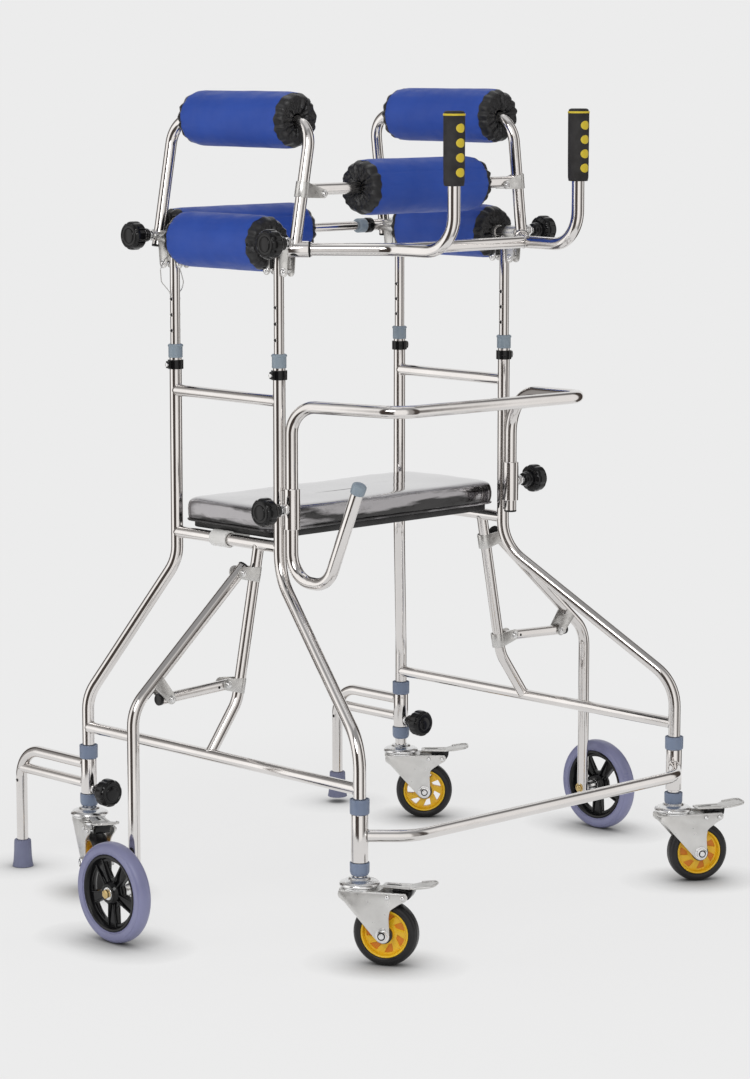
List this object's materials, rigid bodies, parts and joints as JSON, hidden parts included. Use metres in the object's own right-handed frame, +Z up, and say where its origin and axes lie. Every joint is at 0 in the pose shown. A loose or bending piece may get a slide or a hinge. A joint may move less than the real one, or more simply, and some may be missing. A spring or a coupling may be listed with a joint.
{
  "type": "sit to stand rollator",
  "caption": "Steel standing and walking frame on braked swivel casters with padded arm, chest and back rollers, upright handles, a flip up seat and a guard rail.",
  "frame": {"origin": "on the floor, under the middle of the whole object's box", "axes": "+Z up, -Y the way the person walks; left in node names is -X, as seen by someone facing the frame's front"},
  "size_m": [1.144, 0.9559, 1.3037],
  "materials": {
    "polished_steel": "polished",
    "galvanised_steel": "satin",
    "blue_roller_cloth": "satin woven",
    "black_vinyl": "glossy",
    "black_plastic": "matt",
    "black_foam": "matt",
    "yellow_rim_plastic": "gloss",
    "lavender_tyre": "matt",
    "black_tyre": "matt",
    "grey_rubber": "matt"
  },
  "bodies": {
    "frame": {"left_front_leg": "polished_steel", "left_rear_leg": "polished_steel", "left_side_rail": "polished_steel", "left_outrigger_leg": "polished_steel", "right_front_leg": "polished_steel", "right_rear_leg": "polished_steel", "right_side_rail": "polished_steel", "right_outrigger_leg": "polished_steel", "front_bow_bar": "polished_steel"},
    "upper_frame": {"left_underarm_hoop": "polished_steel", "left_upper_rack": "polished_steel", "left_underarm_roller": "blue_roller_cloth", "left_side_roller": "blue_roller_cloth", "left_grip": "black_foam", "right_underarm_hoop": "polished_steel", "right_upper_rack": "polished_steel", "right_underarm_roller": "blue_roller_cloth", "right_side_roller": "blue_roller_cloth", "right_grip": "black_foam", "chest_bar": "polished_steel", "chest_roller": "blue_roller_cloth", "back_bar": "polished_steel", "back_roller": "blue_roller_cloth", "handle_frame": "polished_steel"},
    "seat": {"seat_pad": "black_vinyl", "seat_board": "black_plastic"},
    "guard_rail": {"guard_rail": "polished_steel"},
    "left_foot": {"left_foot_bar": "polished_steel", "left_foot_tip": "grey_rubber"},
    "left_outrigger_wheel": {"left_outrigger_rim": "black_plastic", "left_outrigger_tyre": "lavender_tyre"},
    "right_foot": {"right_foot_bar": "polished_steel", "right_foot_tip": "grey_rubber"},
    "right_outrigger_wheel": {"right_outrigger_rim": "black_plastic", "right_outrigger_tyre": "lavender_tyre"},
    "left_front_swivel": {"left_front_caster_fork": "galvanised_steel"},
    "left_front_wheel": {"left_front_caster_rim": "yellow_rim_plastic", "left_front_caster_tyre": "black_tyre"},
    "left_front_brake": {"left_front_caster_brake": "galvanised_steel"},
    "right_rear_swivel": {"right_rear_caster_fork": "galvanised_steel"},
    "right_rear_wheel": {"right_rear_caster_rim": "yellow_rim_plastic", "right_rear_caster_tyre": "black_tyre"},
    "right_rear_brake": {"right_rear_caster_brake": "galvanised_steel"},
    "right_front_swivel": {"right_front_caster_fork": "galvanised_steel"},
    "right_front_wheel": {"right_front_caster_rim": "yellow_rim_plastic", "right_front_caster_tyre": "black_tyre"},
    "right_front_brake": {"right_front_caster_brake": "galvanised_steel"},
    "left_rear_swivel": {"left_rear_caster_fork": "galvanised_steel"},
    "left_rear_wheel": {"left_rear_caster_rim": "yellow_rim_plastic", "left_rear_caster_tyre": "black_tyre"},
    "left_rear_brake": {"left_rear_caster_brake": "galvanised_steel"},
    "left_front_arm_knob": {"left_front_arm_knob": "black_plastic"},
    "left_rear_arm_knob": {"left_rear_arm_knob": "black_plastic"},
    "left_guard_knob": {"left_guard_knob": "black_plastic"},
    "left_foot_knob": {"left_foot_knob": "black_plastic"},
    "right_front_arm_knob": {"right_front_arm_knob": "black_plastic"},
    "right_rear_arm_knob": {"right_rear_arm_knob": "black_plastic"},
    "right_guard_knob": {"right_guard_knob": "black_plastic"},
    "right_foot_knob": {"right_foot_knob": "black_plastic"}
  },
  "joints": [
    {"name": "height_adjust", "type": "slide", "parent": "frame", "child": "upper_frame", "axis": [0, 0, 1], "range_m": [-0.075, 0.05]},
    {"name": "guard_rail_slide", "type": "slide", "parent": "frame", "child": "guard_rail", "axis": [0, 0, 1], "range_m": [-0.01, 0.03]},
    {"name": "seat_flip", "type": "hinge", "parent": "frame", "child": "seat", "pos_m": [-0.252, 0.0501, 0.592], "axis": [0, -1, 0], "range_deg": [0, 70]},
    {"name": "left_foot_swing", "type": "hinge", "parent": "frame", "child": "left_foot", "pos_m": [-0.358, 0.2791, 0.19], "axis": [0, 0, 1], "range_deg": [-90, 0]},
    {"name": "left_outrigger_wheel_spin", "type": "hinge", "parent": "frame", "child": "left_outrigger_wheel", "pos_m": [-0.5535, -0.0229, 0.079], "axis": [1, 0, 0], "continuous": true},
    {"name": "right_foot_swing", "type": "hinge", "parent": "frame", "child": "right_foot", "pos_m": [0.358, 0.2791, 0.19], "axis": [0, 0, 1], "range_deg": [0, 90]},
    {"name": "right_outrigger_wheel_spin", "type": "hinge", "parent": "frame", "child": "right_outrigger_wheel", "pos_m": [0.5535, -0.0229, 0.079], "axis": [1, 0, 0], "continuous": true},
    {"name": "left_front_caster_swivel", "type": "hinge", "parent": "frame", "child": "left_front_swivel", "pos_m": [-0.358, -0.3684, 0.12], "axis": [0, 0, 1], "continuous": true},
    {"name": "left_front_caster_spin", "type": "hinge", "parent": "left_front_swivel", "child": "left_front_wheel", "pos_m": [-0.337, -0.40477, 0.05], "axis": [0.866, 0.5, 0], "continuous": true},
    {"name": "left_front_brake_press", "type": "hinge", "parent": "left_front_swivel", "child": "left_front_brake", "pos_m": [-0.328, -0.42036, 0.1115], "axis": [0.866, 0.5, 0], "range_deg": [0, 12]},
    {"name": "right_rear_caster_swivel", "type": "hinge", "parent": "frame", "child": "right_rear_swivel", "pos_m": [0.358, 0.2791, 0.12], "axis": [0, 0, 1], "continuous": true},
    {"name": "right_rear_caster_spin", "type": "hinge", "parent": "right_rear_swivel", "child": "right_rear_wheel", "pos_m": [0.38821, 0.24992, 0.05], "axis": [0.6947, 0.7193, 0], "continuous": true},
    {"name": "right_rear_brake_press", "type": "hinge", "parent": "right_rear_swivel", "child": "right_rear_brake", "pos_m": [0.40116, 0.23742, 0.1115], "axis": [0.6947, 0.7193, 0], "range_deg": [0, 12]},
    {"name": "right_front_caster_swivel", "type": "hinge", "parent": "frame", "child": "right_front_swivel", "pos_m": [0.358, -0.3684, 0.12], "axis": [0, 0, 1], "continuous": true},
    {"name": "right_front_caster_spin", "type": "hinge", "parent": "right_front_swivel", "child": "right_front_wheel", "pos_m": [0.39437, -0.3894, 0.05], "axis": [0.5, 0.866, 0], "continuous": true},
    {"name": "right_front_brake_press", "type": "hinge", "parent": "right_front_swivel", "child": "right_front_brake", "pos_m": [0.40996, -0.3984, 0.1115], "axis": [0.5, 0.866, 0], "range_deg": [0, 12]},
    {"name": "left_rear_caster_swivel", "type": "hinge", "parent": "frame", "child": "left_rear_swivel", "pos_m": [-0.358, 0.2791, 0.12], "axis": [0, 0, 1], "continuous": true},
    {"name": "left_rear_caster_spin", "type": "hinge", "parent": "left_rear_swivel", "child": "left_rear_wheel", "pos_m": [-0.37508, 0.24073, 0.05], "axis": [0.9135, -0.4067, 0], "continuous": true},
    {"name": "left_rear_brake_press", "type": "hinge", "parent": "left_rear_swivel", "child": "left_rear_brake", "pos_m": [-0.3824, 0.22429, 0.1115], "axis": [0.9135, -0.4067, 0], "range_deg": [0, 12]},
    {"name": "left_front_arm_knob_turn", "type": "hinge", "parent": "upper_frame", "child": "left_front_arm_knob", "pos_m": [-0.27, -0.1129, 1.072], "axis": [-1, 0, 0], "continuous": true},
    {"name": "left_rear_arm_knob_turn", "type": "hinge", "parent": "upper_frame", "child": "left_rear_arm_knob", "pos_m": [-0.27, 0.2131, 1.072], "axis": [-1, 0, 0], "continuous": true},
    {"name": "left_guard_knob_turn", "type": "hinge", "parent": "frame", "child": "left_guard_knob", "pos_m": [-0.29, -0.1029, 0.656], "axis": [-1, 0, 0], "continuous": true},
    {"name": "left_foot_knob_turn", "type": "hinge", "parent": "left_foot", "child": "left_foot_knob", "pos_m": [-0.358, 0.2401, 0.164], "axis": [0, -1, 0], "continuous": true},
    {"name": "right_front_arm_knob_turn", "type": "hinge", "parent": "upper_frame", "child": "right_front_arm_knob", "pos_m": [0.27, -0.1129, 1.072], "axis": [1, 0, 0], "continuous": true},
    {"name": "right_rear_arm_knob_turn", "type": "hinge", "parent": "upper_frame", "child": "right_rear_arm_knob", "pos_m": [0.27, 0.2131, 1.072], "axis": [1, 0, 0], "continuous": true},
    {"name": "right_guard_knob_turn", "type": "hinge", "parent": "frame", "child": "right_guard_knob", "pos_m": [0.29, -0.1029, 0.656], "axis": [1, 0, 0], "continuous": true},
    {"name": "right_foot_knob_turn", "type": "hinge", "parent": "right_foot", "child": "right_foot_knob", "pos_m": [0.358, 0.2401, 0.1785], "axis": [0, -1, 0], "continuous": true}
  ]
}
